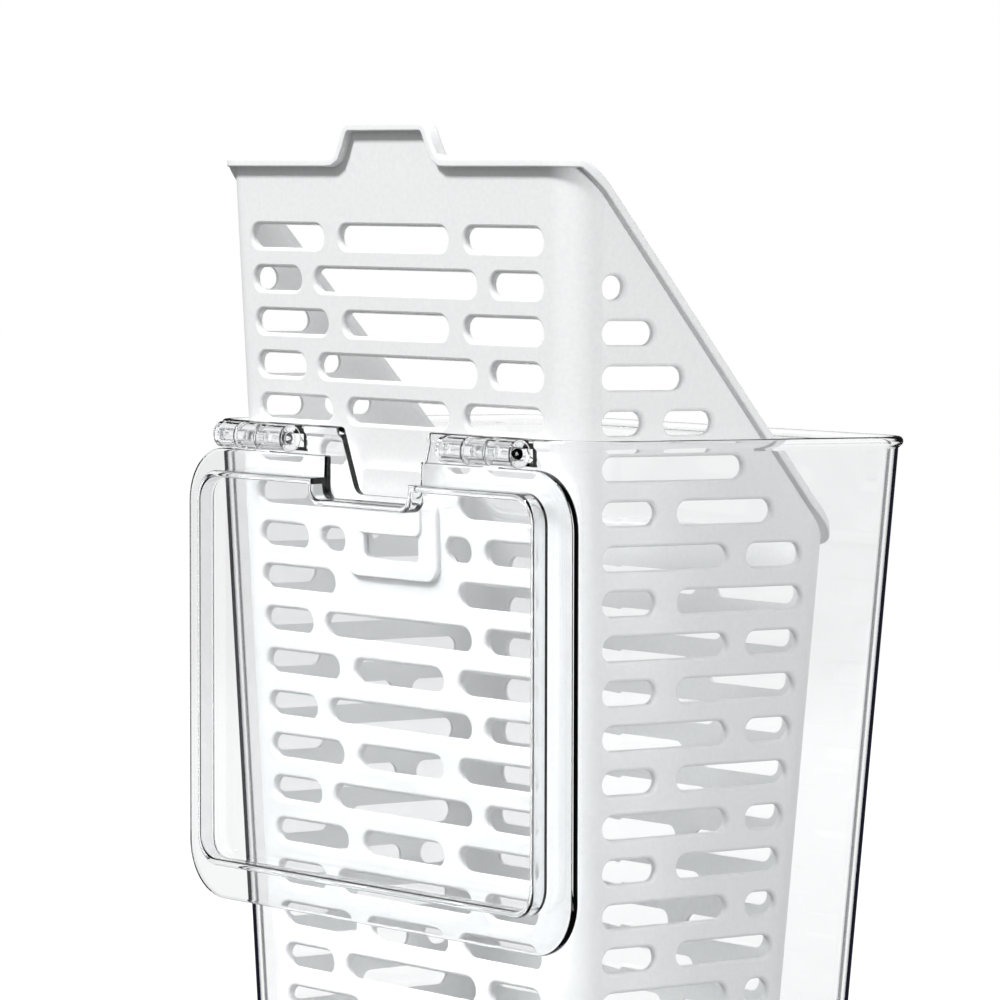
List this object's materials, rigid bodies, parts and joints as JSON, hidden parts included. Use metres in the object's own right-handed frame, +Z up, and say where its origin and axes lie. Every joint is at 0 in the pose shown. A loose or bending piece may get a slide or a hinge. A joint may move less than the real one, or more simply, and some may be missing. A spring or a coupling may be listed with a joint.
{
  "type": "hinged fridge bin with lift-out insert",
  "caption": "Tall tapered clear fridge container with a hinged clear lid swung open and a white slotted lift-out insert parked in its raised position.",
  "frame": {"origin": "middle of the container's flat underside", "axes": "+Z up, X along the hinge, -Y towards the hinge side, where the open lid hangs"},
  "size_m": [0.1402, 0.1133, 0.2975],
  "materials": {
    "clear_plastic": "clear, glossy, injection moulded",
    "clear_pin": "clear, smooth turned or moulded pin",
    "white_plastic": "opaque white with a fine satin mould texture"
  },
  "bodies": {
    "bin": {"container": "clear_plastic", "hinge_pin_left": "clear_pin", "hinge_pin_right": "clear_pin"},
    "lid": {"lid": "clear_plastic"},
    "insert": {"insert": "white_plastic"}
  },
  "joints": [
    {"name": "lid_hinge", "type": "hinge", "parent": "bin", "child": "lid", "pos_m": [0, -0.0571, 0.2244], "axis": [-1, 0, 0], "range_deg": [-1.5, 172]},
    {"name": "insert_lift", "type": "slide", "parent": "bin", "child": "insert", "axis": [0, -0.0569, 0.9984], "range_m": [-0.0675, 0.165]}
  ]
}
